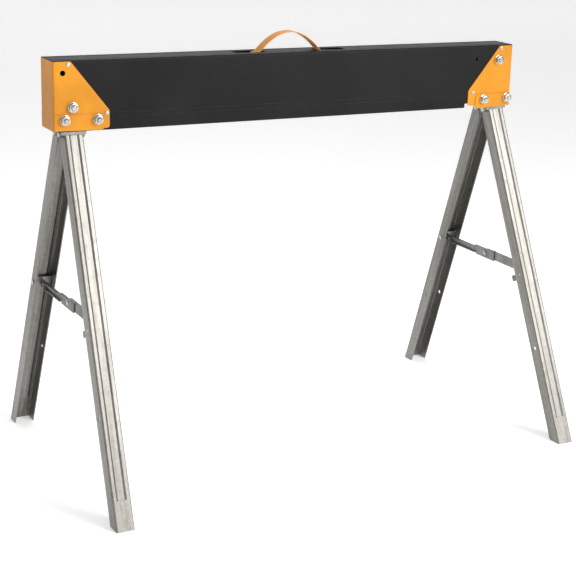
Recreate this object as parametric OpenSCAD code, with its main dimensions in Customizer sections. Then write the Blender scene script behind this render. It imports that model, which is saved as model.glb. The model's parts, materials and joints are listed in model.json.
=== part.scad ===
// Folding sawhorse: an open-bottomed steel beam on two pairs of channel legs.
// Millimetres. +X runs along the beam, +Z is up, and the origin lies on the
// floor, midway between the farthest points at the two ends.

/* [Beam] */
// Overall length of the beam
beam_len = 1040; // [940:5:1240]
// Height of the working surface above the floor
stand_h = 830; // [700:5:990]
// Outside width of the beam channel
beam_w = 67; // [66:1:80]
// Height of the beam channel
beam_h = 133; // [131:1:160]
// Sheet thickness of the beam
beam_t = 1.5; // [1.2:0.1:2]
// Outside bend radius of the beam
beam_bend_r = 3.5; // [2:0.5:5]
// Width of the stiffening bead pressed into each side
bead_w = 9; // [6:0.5:12]
// How far the bead stands out of the side
bead_h = 1.2; // [0.8:0.1:1.4]

/* [End brackets] */
// Sheet thickness of an end bracket and of a saddle plate
bracket_t = 1.5; // [1:0.1:2]
// Length of a bracket's side along the bottom
bracket_len = 110; // [104:1:130]
// Length of a bracket's side along the top
bracket_top_len = 34; // [30:1:44]
// Height at which the slanted edge of a bracket starts
bracket_knee_h = 38; // [34:1:44]
// Height of the saddle plates
saddle_h = 30; // [28:1:34]
// Length of the left saddle plates
left_saddle_len = 101; // [96:1:104]
// Length of the right saddle plates
right_saddle_len = 91; // [84:1:100]
// Cut in the beam walls behind the right bracket: where it starts, in mm
relief_in = 4; // [4:0.5:8]
// Its length in mm
relief_len = 113; // [104:0.5:116]
// Its height in mm
relief_h = 9; // [8:0.5:12]

/* [Bolts] */
// Radius of a pivot bolt's shank
pivot_r = 5; // [4:0.5:6]
// Radius of a stop bolt's shank
stop_r = 4; // [3:0.5:4.5]
// Radius of a saddle bolt's shank
saddle_bolt_r = 4; // [3:0.5:5]
// Distance of the left pivot bolt from the beam's end
left_pivot_in = 37; // [36:0.5:42]
// Height of the left pivot bolt above the beam's lower edge
left_pivot_up = 46; // [45:0.5:50]
// Distance of the right pivot bolt from the beam's end
right_pivot_in = 36; // [36:0.5:42]
// Height of the right pivot bolt above the beam's lower edge
right_pivot_up = 101.5; // [100:0.5:103]
// Distance of the left stop bolt from the beam's end
left_stop_in = 21; // [18:0.5:22]
// Height of the left stop bolt above the beam's lower edge
left_stop_up = 22.5; // [22:0.5:24]
// Distance of the right stop bolt from the beam's end
right_stop_in = 9.5; // [9:0.5:12]
// Height of the right stop bolt above the beam's lower edge
right_stop_up = 18.5; // [18:0.5:22]

/* [Legs] */
// Angle of each leg from the upright, across the beam
splay = 22.4; // [18:0.2:24]
// Outward lean of the left legs along the beam
left_lean = 1; // [0:0.5:3]
// Outward lean of the right legs along the beam
right_lean = 3.5; // [2:0.5:4]
// Web width of the front legs, which nest into the rear legs
front_leg_w = 37; // [34:0.5:38]
// Web width of the rear legs
rear_leg_w = 42; // [41.8:0.1:43]
// Depth of a leg's flanges, web included
flange_d = 29.5; // [26:0.5:30]
// Sheet thickness of a leg
leg_t = 1.8; // [1.4:0.1:2]
// Depth of the long panel pressed into a leg's web
panel_depth = 2.2; // [1:0.1:2.5]
// Radius of the accessory holes in a leg's flanges
leg_hole_r = 4.2; // [3:0.1:6]
// Distance of the accessory holes from the floor, along the leg
leg_hole_up = 208; // [150:2:260]

/* [Leg hangers] */
// Half the distance between the hinge pins of a pair of legs
pin_half = 13; // [12:0.5:14]
// Distance from a hinge pin to the outer face of the leg's web
pin_to_web = 14.5; // [13:0.5:15]
// Radius of a hinge pin
pin_r = 4; // [3:0.5:4.5]
// How far the hinge pins sit below the beam's lower edge
pin_below = 7; // [6:0.5:9]
// Sheet thickness of a hanger
hanger_t = 2.5; // [2:0.1:3]
// Outside half width of a hanger across the beam
hanger_half_y = 29; // [28.5:0.1:29.2]

/* [Braces] */
// Distance from a leg's hinge pin down to its brace pin
brace_drop = 363; // [320:1:390]
// Sheet thickness of the brace links and clips
brace_t = 2; // [1.5:0.1:2.5]
// Height of a front brace link
front_link_h = 18; // [14:1:20]
// Height of a rear brace link
rear_link_h = 14; // [12:1:16]
// Height of the rear brace link's wide lapping end
lap_h = 22; // [20:1:24]
// How far the lapping end reaches to each side of the middle rivet
lap_reach = 35; // [20:1:45]
// Radius of a brace pin
brace_pin_r = 3; // [2.5:0.1:3.5]

/* [Carry strap] */
// Width of the strap
strap_w = 25; // [20:1:26]
// Thickness of the strap
strap_t = 2.2; // [1.5:0.1:2.5]
// Rise of the strap above the working surface
strap_rise = 38; // [30:1:60]
// Half of the strap's span on the working surface
strap_half = 68; // [55:1:80]
// Place of the middle of the strap along the beam
strap_x = -15.5; // [-20:0.5:20]

/* [Clearances] */
// Gap between pieces that slide past each other
gap = 0.2; // [0.2:0.05:0.4]
// Radial clearance of a pin in the hole it turns in
run = 0.05; // [0.02:0.01:0.1]

/* [Hidden] */

LEFT = 0;
RIGHT = 1;
FRONT = -1;
REAR = 1;
SIDES = [FRONT, REAR];
ENDS = [LEFT, RIGHT];

// Which way along X is outward at each end
out = [-1, 1];
beam_base = stand_h - beam_h;
wall_out = beam_w / 2;
wall_in = wall_out - beam_t;
bracket_out = wall_out + bracket_t;
saddle_out = bracket_out + bracket_t;
pivot_in = [left_pivot_in, right_pivot_in];
pivot_up = [left_pivot_up, right_pivot_up];
stop_in = [left_stop_in, right_stop_in];
stop_up = [left_stop_up, right_stop_up];
saddle_len = [left_saddle_len, right_saddle_len];
lean = [left_lean, right_lean];
// Inboard offset of the legs from their pivot bolt
leg_in = [5, 0.6];
// Farthest point of each end, the beam's end or a rear leg's foot, from the beam's middle
reach_x = [for (e = ENDS) max(beam_len / 2,
    beam_len / 2 - pivot_in[e] + (rear_leg_w / 2 - leg_in[e]) / cos(lean[e])
    + (beam_base + pivot_up[e]) * tan(lean[e]))];
mid_x = (reach_x[LEFT] - reach_x[RIGHT]) / 2;
end_x = [for (e = ENDS) mid_x + out[e] * beam_len / 2];
saddle_bolt_in = [left_saddle_len - 15, right_saddle_len - 21];
saddle_bolt_up = [21.5, 17.5];
saddle_low = [1, -2.5];
saddle_rise = [1.5, 5];
saddle_corner_r = 9;
bracket_low = 4;
bracket_bend_r = bracket_t + 1.5;
bracket_corner_r = 5;
top_gap = 0.2;
rivet_r = 2.2;
rivet_head_r = 4.3;
rivet_head_h = 2;
rivet_in = [[29.5, bracket_len - 5.5], [29.5, bracket_len - 13]];
rivet_up = [beam_h - 7.5, bracket_knee_h - 5.5];
hang_hole_in = 18.7;
hang_hole_up = beam_h - 23;
hang_hole_r = 5.2;
side_hole_in = 92;
side_hole_up = beam_h - 29.5;
side_hole_r = 3.7;
bead_end_in = 124;
bead_up = 28.5;
groove_y = 20;
groove_r = 2.2;
groove_sink = 0.9;
hole_slack = 0.2;
washer_t = 1.5;
washer_r = 10;
hex_r = 9;
head_h = 6;
nut_h = 7.5;
thread_tail = 3;
carriage_head_r = 8;
carriage_head_h = 1.8;

// Hangers
pin_drop = [for (e = ENDS) pivot_up[e] + pin_below - 0.2 * lean[e] / 3.5];
sleeve_r = pivot_r + 3;
sleeve_half = hanger_half_y + 0.8;
spacer_r = 11;
hanger_head_r = 18;
ear_in = rear_leg_w / 2 + 1;
ear_out = ear_in + hanger_t;
lobe_r = 8.5;
pin_head_r = 6.5;
pin_head_h = 2;
wall_rise = 26;
stop_gap = 0.3;
// The stop bolt seen from the hanger, with outward along -X
stop_dx = [for (e = ENDS) stop_in[e] - pivot_in[e]];
stop_dz = [for (e = ENDS) stop_up[e] - pivot_up[e]];
stop_lx = [for (e = ENDS) stop_dx[e] * cos(lean[e]) - stop_dz[e] * sin(lean[e])];
stop_lz = [for (e = ENDS) stop_dx[e] * sin(lean[e]) + stop_dz[e] * cos(lean[e])];
stop_reach = [for (e = ENDS) norm([stop_lx[e], stop_lz[e]]) + stop_r + 0.6];
// The wide band of a hanger starts clear of the stop bolt's path
band_out = [for (e = ENDS) ear_out - leg_in[e]];
band_side_z = [for (e = ENDS) sqrt(max(0, pow(stop_reach[e], 2) - pow(band_out[e], 2)))];
neck_out = [for (e = ENDS) -stop_lx[e] - stop_r - stop_gap];
neck_low_z = [for (e = ENDS) sqrt(pow(stop_reach[e], 2) - pow(neck_out[e], 2))];
band_top = [for (e = ENDS) -max(band_side_z[e], neck_low_z[e], -stop_lz[e] + stop_r + 1.5)];

// Legs, in a frame with the hinge pin at the origin and the web towards -Y
leg_bend_r = 3.2;
leg_head_r = 9;
web_top = 6.5;
leg_cut = stand_h * 1.25;
leg_run = (beam_base - pin_below) / cos(splay);
panel_edge = 8.5;
panel_slope = 3.5;
panel_end_up = 52;
flange_tip = flange_d - pin_to_web;

// Braces: u is the offset outward from the hinge pin line
brace_u = -6;
lap_gap = 0.2;
clip_gap = 0.2;
link_flange = 7;
clip_r = 8;
clip_bridge_u = 5;
clip_tail = 22;
clip_tip_front = flange_tip + 3.5;
clip_tip_rear = pin_half - 2.8;
clip_tab = pin_half + 19;
ear_gap = lap_gap + brace_t + clip_gap;
clip_rivet_r = 2.5;
clip_rivet_head_r = 5;
clip_rivet_head_h = 2;
notch = 18;
nub_len = 5;
link_len = pin_half + brace_u * cos(splay) + brace_drop * sin(splay);
brace_z = brace_u * sin(splay) - brace_drop * cos(splay);

// Strap
strap_bar_r = 2;
strap_loop_r = 3.4;
strap_sink = 5;
strap_tail = 0.1;
soft_gap = 0.3;
strap_slot_half = strap_w / 2 + 1.2;
strap_bar_half = strap_slot_half + 7;
left_slot = [strap_x - strap_half - 54, strap_x - strap_half + 14];
right_slot = [strap_x + strap_half - 8, strap_x + strap_half + 60];

round_fn = 48;
small_fn = 32;

yellow = "#f0ac35";
black = "#2b2b2d";
zinc = "#b9bbba";
bright = "#d9dadb";
webbing = "#d98b22";

function arc(cx, cy, r, a0, a1, n = 6) =
    [for (i = [0:n]) [cx + r * cos(a0 + (a1 - a0) * i / n), cy + r * sin(a0 + (a1 - a0) * i / n)]];

function backward(points) = [for (i = [len(points) - 1:-1:0]) points[i]];

// ---------- placing ----------

// Puts an XZ outline, drawn inward from a beam end and up from the beam's
// lower edge, on the face at y0 and makes it t thick towards +Y.
module on_side(e, y0, t) {
    translate([end_x[e], y0 + t, beam_base])
        mirror([e, 0, 0])
            rotate([90, 0, 0])
                linear_extrude(t)
                    children();
}

// A round hole or rod along Y from y0 to y1, placed as on_side() places things
module rod_y(e, inward, up, r, y0, y1, fn = round_fn) {
    translate([end_x[e] - out[e] * inward, y0, beam_base + up])
        rotate([-90, 0, 0])
            cylinder(r = r, h = y1 - y0, $fn = fn);
}

// The frame of a hanger: its origin on the pivot bolt, leaning outward
module at_pivot(e) {
    translate([end_x[e] - out[e] * pivot_in[e], 0, beam_base + pivot_up[e]])
        rotate([0, -out[e] * lean[e], 0])
            children();
}

// The frame of a leg: its origin on the hinge pin, the web towards -Y,
// before the leg is splayed
module at_pin(e, side) {
    at_pivot(e)
        translate([-out[e] * leg_in[e], side * pin_half, -pin_drop[e]])
            rotate([side * splay, 0, 0])
                mirror([0, side == REAR ? 1 : 0, 0])
                    children();
}

// The frame of a brace link: its origin on the brace pin, +Y along the link
// towards the other leg, +Z up
module at_brace(e, side) {
    at_pivot(e)
        translate([-out[e] * leg_in[e], side * link_len, brace_z - pin_drop[e]])
            mirror([0, side == REAR ? 1 : 0, 0])
                children();
}

// A YZ outline made into a plate from x0 to x1
module plate_x(x0, x1) {
    translate([x0, 0, 0])
        rotate([90, 0, 90])
            linear_extrude(x1 - x0)
                children();
}

module rod_x(y, z, r, x0, x1, fn = small_fn) {
    translate([x0, y, z])
        rotate([0, 90, 0])
            cylinder(r = r, h = x1 - x0, $fn = fn);
}

// ---------- beam and brackets ----------

module beam_profile() {
    outer = concat([[-wall_out, 0]],
                   arc(-wall_out + beam_bend_r, beam_h - beam_bend_r, beam_bend_r, 180, 90),
                   arc(wall_out - beam_bend_r, beam_h - beam_bend_r, beam_bend_r, 90, 0),
                   [[wall_out, 0]]);
    bend_in = beam_bend_r - beam_t;
    inner = concat([[wall_in, 0]],
                   arc(wall_in - bend_in, beam_h - beam_t - bend_in, bend_in, 0, 90),
                   arc(-wall_in + bend_in, beam_h - beam_t - bend_in, bend_in, 90, 180),
                   [[-wall_in, 0]]);
    difference() {
        union() {
            polygon(concat(outer, inner));
            for (s = SIDES)
                intersection() {
                    translate([s * groove_y, beam_h + groove_r - groove_sink])
                        circle(r = groove_r + beam_t, $fn = small_fn);
                    translate([-wall_in, 0])
                        square([2 * wall_in, beam_h - beam_t / 2]);
                }
        }
        for (s = SIDES)
            translate([s * groove_y, beam_h + groove_r - groove_sink])
                circle(r = groove_r, $fn = small_fn);
    }
}

module bead_outline(w) {
    half = beam_len / 2 - bead_end_in - bead_w / 2;
    square([2 * half, w], center = true);
    for (s = [-1, 1])
        translate([s * half, 0])
            circle(d = w, $fn = small_fn);
}

module bead(w, y0, y1) {
    translate([mid_x, y1, beam_base + bead_up])
        rotate([90, 0, 0])
            linear_extrude(y1 - y0)
                bead_outline(w);
}

module side_bead_out(s) {
    if (s == FRONT)
        bead(bead_w, -wall_out - bead_h, -wall_out + beam_t / 2);
    else
        bead(bead_w, wall_out - beam_t / 2, wall_out + bead_h);
}

module side_bead_in(s) {
    if (s == FRONT)
        bead(bead_w - 2 * beam_t, -wall_out - bead_h + beam_t, -wall_in + 1);
    else
        bead(bead_w - 2 * beam_t, wall_in - 1, wall_out + bead_h - beam_t);
}

module strap_slot(span) {
    translate([mid_x + span[0], -strap_slot_half, stand_h - 4 * beam_t])
        cube([span[1] - span[0], 2 * strap_slot_half, 8 * beam_t]);
}

module beam_shell() {
    reach = saddle_out + 1;
    color(black)
        difference() {
            union() {
                translate([end_x[LEFT], 0, beam_base])
                    rotate([90, 0, 90])
                        linear_extrude(beam_len)
                            beam_profile();
                for (s = SIDES)
                    side_bead_out(s);
            }
            for (s = SIDES)
                side_bead_in(s);
            // The walls are cut back behind the right bracket, where its legs swing in
            on_side(RIGHT, -reach, 2 * reach)
                translate([relief_in, -1])
                    square([relief_len, relief_h + 1]);
            // The side walls stop short of the end brackets' end faces
            for (e = ENDS)
                on_side(e, -reach, 2 * reach)
                    translate([-1, -1])
                        square([bracket_bend_r + 1, beam_h - beam_t + 1]);
            for (e = ENDS) {
                rod_y(e, pivot_in[e], pivot_up[e], pivot_r + hole_slack, -reach, reach);
                rod_y(e, stop_in[e], stop_up[e], stop_r + hole_slack, -reach, reach);
                rod_y(e, saddle_bolt_in[e], saddle_bolt_up[e], saddle_bolt_r + hole_slack,
                      -reach, reach);
                for (i = [0, 1])
                    rod_y(e, rivet_in[e][i], rivet_up[i], rivet_r, -reach, reach, small_fn);
            }
            rod_y(LEFT, hang_hole_in, hang_hole_up, hang_hole_r + 2 * hole_slack, -reach, reach);
            rod_y(RIGHT, side_hole_in, side_hole_up, side_hole_r, -reach, reach);
            strap_slot(left_slot);
            strap_slot(right_slot);
        }
}

module bracket_outline() {
    polygon(concat(
        [[0, 1], [bracket_t + 4, 1], [bracket_t + 7, bracket_low]],
        arc(bracket_len - bracket_corner_r, bracket_low + bracket_corner_r,
            bracket_corner_r, -90, 0),
        [[bracket_len, bracket_knee_h - 2], [bracket_len - 1.5, bracket_knee_h + 1]],
        [[bracket_top_len, beam_h - beam_t - top_gap], [0, beam_h - beam_t - top_gap]]));
}

module bracket_plan(e) {
    bend = bracket_bend_r;
    outer = concat([[bracket_len + 1, -bracket_out]],
                   arc(bend, -bracket_out + bend, bend, 270, 180),
                   arc(bend, bracket_out - bend, bend, 180, 90),
                   [[bracket_len + 1, bracket_out]]);
    bend_in = bend - bracket_t;
    inner = concat([[bracket_len + 1, wall_out]],
                   arc(bend, wall_out - bend_in, bend_in, 90, 180),
                   arc(bend, -wall_out + bend_in, bend_in, 180, 270),
                   [[bracket_len + 1, -wall_out]]);
    polygon(concat(outer, inner));
}

module end_bracket(e) {
    reach = saddle_out + 1;
    color(yellow)
        difference() {
            intersection() {
                translate([end_x[e], 0, beam_base - 1])
                    mirror([e, 0, 0])
                        linear_extrude(beam_h)
                            bracket_plan(e);
                on_side(e, -reach, 2 * reach)
                    bracket_outline();
            }
            rod_y(e, pivot_in[e], pivot_up[e], pivot_r + hole_slack, -reach, reach);
            rod_y(e, stop_in[e], stop_up[e], stop_r + hole_slack, -reach, reach);
            rod_y(e, saddle_bolt_in[e], saddle_bolt_up[e], saddle_bolt_r + hole_slack,
                  -reach, reach);
            for (i = [0, 1])
                rod_y(e, rivet_in[e][i], rivet_up[i], rivet_r, -reach, reach, small_fn);
            if (e == LEFT)
                rod_y(e, hang_hole_in, hang_hole_up, hang_hole_r, -reach, reach);
        }
}

module saddle_plate(e, side) {
    low = saddle_low[e];
    length = saddle_len[e];
    top = low + saddle_h + 1;
    r = saddle_corner_r;
    y0 = side == FRONT ? -saddle_out : bracket_out;
    color(yellow)
        difference() {
            on_side(e, y0, bracket_t)
                polygon(concat([[1, low + saddle_rise[e]]],
                               arc(length - r, low + r, r, -90, 0),
                               arc(length - r, top - r, r, 0, 90),
                               [[1, top]]));
            rod_y(e, stop_in[e], stop_up[e], stop_r + hole_slack, y0 - 1, y0 + bracket_t + 1);
            rod_y(e, saddle_bolt_in[e], saddle_bolt_up[e], saddle_bolt_r + hole_slack,
                  y0 - 1, y0 + bracket_t + 1);
        }
}

// ---------- fasteners of the beam ----------

// A rod along Y that starts at depth d0 from the middle plane and runs out to
// d1 on the given side
module stud(e, inward, up, r, side, d0, d1, fn = round_fn) {
    rod_y(e, inward, up, r, side == FRONT ? -d1 : d0, side == FRONT ? -d0 : d1, fn);
}

module bracket_rivets() {
    color(bright)
        for (e = ENDS, side = SIDES, i = [0, 1]) {
            stud(e, rivet_in[e][i], rivet_up[i], rivet_r, side, wall_in, bracket_out, small_fn);
            stud(e, rivet_in[e][i], rivet_up[i], rivet_head_r, side, bracket_out,
                 bracket_out + rivet_head_h * 0.5, small_fn);
            stud(e, rivet_in[e][i], rivet_up[i], rivet_head_r * 0.75, side, bracket_out,
                 bracket_out + rivet_head_h, small_fn);
        }
}

module pivot_bolts() {
    color(bright)
        for (e = ENDS) {
            rod_y(e, pivot_in[e], pivot_up[e], pivot_r,
                  -bracket_out - washer_t - nut_h - thread_tail, bracket_out + washer_t);
            stud(e, pivot_in[e], pivot_up[e], hex_r, REAR, bracket_out + washer_t,
                 bracket_out + washer_t + head_h, 6);
        }
}

module nut(e, inward, up, r, side, face) {
    difference() {
        stud(e, inward, up, hex_r, side, face, face + nut_h, 6);
        stud(e, inward, up, r, side, face - 1, face + nut_h + 1);
    }
}

module washer(e, inward, up, r, side, face) {
    difference() {
        stud(e, inward, up, washer_r, side, face, face + washer_t);
        stud(e, inward, up, r, side, face - 1, face + washer_t + 1);
    }
}

module pivot_nuts() {
    color(bright)
        for (e = ENDS)
            nut(e, pivot_in[e], pivot_up[e], pivot_r, FRONT, bracket_out + washer_t);
}

module pivot_washers() {
    color(bright)
        for (e = ENDS, side = SIDES)
            washer(e, pivot_in[e], pivot_up[e], pivot_r, side, bracket_out);
}

module pivot_spacers() {
    face = sleeve_half + gap;
    color(zinc)
        for (e = ENDS, side = SIDES)
            difference() {
                stud(e, pivot_in[e], pivot_up[e], spacer_r, side, face, wall_in);
                stud(e, pivot_in[e], pivot_up[e], pivot_r, side, face - 1, wall_in + 1);
            }
}

module stop_bolts() {
    color(bright)
        for (e = ENDS) {
            rod_y(e, stop_in[e], stop_up[e], stop_r,
                  -saddle_out - washer_t - nut_h - thread_tail, saddle_out + washer_t);
            stud(e, stop_in[e], stop_up[e], hex_r, REAR, saddle_out + washer_t,
                 saddle_out + washer_t + head_h, 6);
        }
}

module stop_nuts() {
    color(bright)
        for (e = ENDS)
            nut(e, stop_in[e], stop_up[e], stop_r, FRONT, saddle_out + washer_t);
}

module stop_washers() {
    color(bright)
        for (e = ENDS, side = SIDES)
            washer(e, stop_in[e], stop_up[e], stop_r, side, saddle_out);
}

module saddle_bolts() {
    color(bright)
        for (e = ENDS, side = SIDES) {
            stud(e, saddle_bolt_in[e], saddle_bolt_up[e], saddle_bolt_r, side,
                 wall_in - carriage_head_h, saddle_out + washer_t + nut_h + thread_tail);
            stud(e, saddle_bolt_in[e], saddle_bolt_up[e], carriage_head_r, side,
                 wall_in - carriage_head_h, wall_in);
        }
}

module saddle_nuts() {
    color(bright)
        for (e = ENDS, side = SIDES)
            nut(e, saddle_bolt_in[e], saddle_bolt_up[e], saddle_bolt_r, side,
                saddle_out + washer_t);
}

module saddle_washers() {
    color(bright)
        for (e = ENDS, side = SIDES)
            washer(e, saddle_bolt_in[e], saddle_bolt_up[e], saddle_bolt_r, side, saddle_out);
}

// ---------- carry strap ----------

// Height of the strap's middle above the working surface, at s half spans
// from the strap's middle: an arch outside, flattening out inside the beam
function strap_z(s) = abs(s) <= 1
    ? strap_rise * (1 - s * s)
    : -strap_sink * (1 - exp(-(abs(s) - 1) * 2 * strap_rise / strap_sink));

function strap_point(s) = [mid_x + strap_x + s * strap_half, stand_h + strap_z(s)];

function strap_normal(s) =
    let (d = strap_point(s + 0.002) - strap_point(s - 0.002))
    [-d[1], d[0]] / norm(d);

module strap_loop_at(s) {
    translate([mid_x + strap_x + s * strap_half, stand_h - strap_sink])
        circle(r = strap_loop_r, $fn = small_fn);
}

module carry_strap() {
    end = 1 + strap_tail;
    steps = [for (i = [0:72]) -end + 2 * end * i / 72];
    upper = [for (s = steps) strap_point(s) + strap_normal(s) * strap_t / 2];
    lower = [for (s = steps) strap_point(s) - strap_normal(s) * strap_t / 2];
    color(webbing)
        difference() {
            translate([0, strap_w / 2, 0])
                rotate([90, 0, 0])
                    linear_extrude(strap_w)
                        union() {
                            polygon(concat(upper, backward(lower)));
                            for (s = [-1, 1])
                                strap_loop_at(s * end);
                        }
            for (s = [-1, 1])
                translate([mid_x + strap_x + s * end * strap_half, -strap_w,
                           stand_h - strap_sink])
                    rotate([-90, 0, 0])
                        cylinder(r = strap_bar_r + soft_gap, h = 2 * strap_w, $fn = small_fn);
        }
}

module strap_bars() {
    end = 1 + strap_tail;
    color(zinc)
        for (s = [-1, 1])
            translate([mid_x + strap_x + s * end * strap_half, -strap_bar_half,
                       stand_h - strap_sink])
                rotate([-90, 0, 0])
                    cylinder(r = strap_bar_r, h = 2 * strap_bar_half, $fn = small_fn);
}

// ---------- hangers ----------

module pivot_sleeve(e) {
    color(zinc)
        difference() {
            rod_y(e, pivot_in[e], pivot_up[e], sleeve_r, -sleeve_half, sleeve_half);
            rod_y(e, pivot_in[e], pivot_up[e], pivot_r + run, -sleeve_half - 1, sleeve_half + 1);
        }
}

// A hanger cheek seen from the front, with outward along -X
module cheek_outline(e) {
    low = -pin_drop[e] - 0.2;
    circle(r = hanger_head_r, $fn = round_fn);
    polygon([[-neck_out[e], band_top[e] - 1], [leg_in[e] + ear_out, band_top[e] - 1],
             [leg_in[e] + ear_out, band_top[e]], [hanger_head_r, 0],
             [-min(neck_out[e], hanger_head_r), 0], [-neck_out[e], -hanger_head_r]]);
    translate([leg_in[e] - ear_out, low])
        square([2 * ear_out, band_top[e] - low]);
}

// The end wall of a hanger, an outline across the beam, with its pin lobes
module ear_outline(e, top) {
    translate([-hanger_half_y, -pin_drop[e] + 1])
        square([2 * hanger_half_y, top + pin_drop[e] - 1]);
    for (s = SIDES)
        translate([s * pin_half, -pin_drop[e]])
            circle(r = lobe_r, $fn = round_fn);
}

module leg_hanger(e) {
    color(zinc)
        at_pivot(e)
            mirror([e, 0, 0])
                difference() {
                    union() {
                        for (s = SIDES)
                            translate([0, s == FRONT ? -hanger_half_y + hanger_t : hanger_half_y, 0])
                                rotate([90, 0, 0])
                                    linear_extrude(hanger_t)
                                        cheek_outline(e);
                        plate_x(leg_in[e] - ear_out, leg_in[e] - ear_in)
                            ear_outline(e, band_top[e] - 1.5);
                        plate_x(leg_in[e] + ear_in, leg_in[e] + ear_out)
                            ear_outline(e, -pin_drop[e] + wall_rise);
                    }
                    rotate([90, 0, 0])
                        cylinder(r = sleeve_r + run, h = 2 * hanger_half_y + 2, center = true,
                                 $fn = round_fn);
                    for (s = SIDES)
                        rod_x(s * pin_half, -pin_drop[e], pin_r, leg_in[e] - ear_out - 1,
                              leg_in[e] + ear_out + 1);
                }
}

module hinge_pins(e) {
    color(bright)
        at_pivot(e)
            translate([-out[e] * leg_in[e], 0, 0])
                for (s = SIDES) {
                    rod_x(s * pin_half, -pin_drop[e], pin_r, -ear_out, ear_out);
                    for (x = [-ear_out - pin_head_h, ear_out])
                        rod_x(s * pin_half, -pin_drop[e], pin_head_r, x, x + pin_head_h);
                }
}

module hinge_washers(e) {
    color(zinc)
        at_pivot(e)
            translate([-out[e] * leg_in[e], 0, 0])
                for (s = SIDES, x = [-1, 1]) {
                    face = (s == FRONT ? front_leg_w : rear_leg_w) / 2 + gap;
                    x0 = x < 0 ? -ear_in : face;
                    x1 = x < 0 ? -face : ear_in;
                    difference() {
                        rod_x(s * pin_half, -pin_drop[e], pin_head_r + 1, x0, x1);
                        rod_x(s * pin_half, -pin_drop[e], pin_r, x0 - 1, x1 + 1);
                    }
                }
}

// ---------- legs ----------

// Cross-section of a leg, web towards -Y, with or without the pressed panel
module leg_profile(w, panel) {
    h = w / 2;
    r = leg_bend_r;
    ri = r - leg_t;
    y0 = -pin_to_web;
    tip = flange_tip;
    d = panel ? panel_depth : 0;
    a = h - panel_edge;
    b = a - panel_slope;
    outer = concat([[-h, tip]], arc(-h + r, y0 + r, r, 180, 270),
                   [[-a, y0], [-b, y0 + d], [b, y0 + d], [a, y0]],
                   arc(h - r, y0 + r, r, 270, 360), [[h, tip]]);
    inner = concat([[h - leg_t, tip]], arc(h - r, y0 + r, ri, 360, 270),
                   [[a, y0 + leg_t], [b, y0 + leg_t + d], [-b, y0 + leg_t + d], [-a, y0 + leg_t]],
                   arc(-h + r, y0 + r, ri, 270, 180), [[-h + leg_t, tip]]);
    polygon(concat(outer, inner));
}

// A leg seen from its side: the flanges reach up round the pin, the web stops short
module leg_outline() {
    circle(r = leg_head_r, $fn = round_fn);
    polygon([[-leg_head_r, 0], [-leg_head_r - 0.5, 1.5 - web_top],
             [-pin_to_web, -web_top], [-pin_to_web, -leg_cut],
             [flange_tip, -leg_cut], [flange_tip, -14], [leg_head_r, 0]]);
}

module leg(e, side) {
    w = side == FRONT ? front_leg_w : rear_leg_w;
    panel_end = leg_run - panel_end_up;
    hole_z = -leg_run + leg_hole_up;
    color(bright)
        difference() {
            at_pin(e, side)
                difference() {
                    intersection() {
                        union() {
                            translate([0, 0, -panel_end])
                                linear_extrude(panel_end + leg_head_r + 1)
                                    leg_profile(w, true);
                            translate([0, 0, -leg_cut])
                                linear_extrude(leg_cut - panel_end)
                                    leg_profile(w, false);
                        }
                        plate_x(-w, w)
                            leg_outline();
                    }
                    rod_x(0, 0, pin_r + run, -w, w);
                    rod_x(0, hole_z, leg_hole_r, -w, w);
                    clip_rivet_shanks(side);
                }
            // The floor
            translate([-beam_len, -stand_h, -stand_h])
                cube([2 * beam_len, 2 * stand_h, stand_h]);
        }
}

// ---------- braces ----------

// A foot of a clip, flat against the inside of the flange at x0
module clip_foot(x0, z0, z1, tip) {
    translate([x0, -clip_bridge_u - brace_t, z0])
        cube([brace_t, tip + clip_bridge_u + brace_t, z1 - z0]);
}

// The bridge of a clip beside the web and the ear that holds the brace pin
module clip_bridge(x0, x1, ear_x) {
    translate([x0, -clip_bridge_u - brace_t, -brace_drop - clip_r])
        cube([x1 - x0, brace_t, 2 * clip_r]);
    translate([ear_x, -clip_bridge_u - brace_t, -brace_drop - clip_r])
        cube([brace_t, -brace_u + clip_bridge_u + brace_t, 2 * clip_r]);
    rod_x(-brace_u, -brace_drop, clip_r, ear_x, ear_x + brace_t);
}

// A front clip has one foot, on the left flange; a rear clip has one on each
module brace_clip(e, side) {
    front_x = -front_leg_w / 2 + leg_t;
    rear_x = rear_leg_w / 2 - leg_t;
    level = -brace_drop;
    color(zinc)
        at_pin(e, side)
            difference() {
                if (side == FRONT)
                    union() {
                        clip_foot(front_x, level - clip_tail, level + clip_r, clip_tip_front);
                        clip_foot(front_x, level - clip_tail, level - clip_r - 1, clip_tab);
                        clip_bridge(front_x, ear_gap + brace_t, ear_gap);
                    }
                else
                    union() {
                        clip_foot(rear_x - brace_t, level - clip_r, level + clip_tail,
                                  clip_tip_rear);
                        clip_foot(-rear_x, level - clip_r, level + clip_r, clip_r / 2);
                        clip_bridge(-rear_x, rear_x, -ear_gap - brace_t);
                    }
                rod_x(-brace_u, level, brace_pin_r, -ear_gap - 2 * brace_t,
                      ear_gap + 2 * brace_t);
                clip_rivet_shanks(side);
            }
}

module clip_rivet_shanks(side) {
    sheet = leg_t + brace_t;
    if (side == FRONT) {
        rod_x(0, -brace_drop - clip_tail / 2, clip_rivet_r, -front_leg_w / 2,
              -front_leg_w / 2 + sheet);
    } else {
        rod_x(0, -brace_drop + clip_tail / 2, clip_rivet_r, rear_leg_w / 2 - sheet,
              rear_leg_w / 2);
        rod_x(-1, -brace_drop, clip_rivet_r, -rear_leg_w / 2, -rear_leg_w / 2 + sheet);
    }
}

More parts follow.
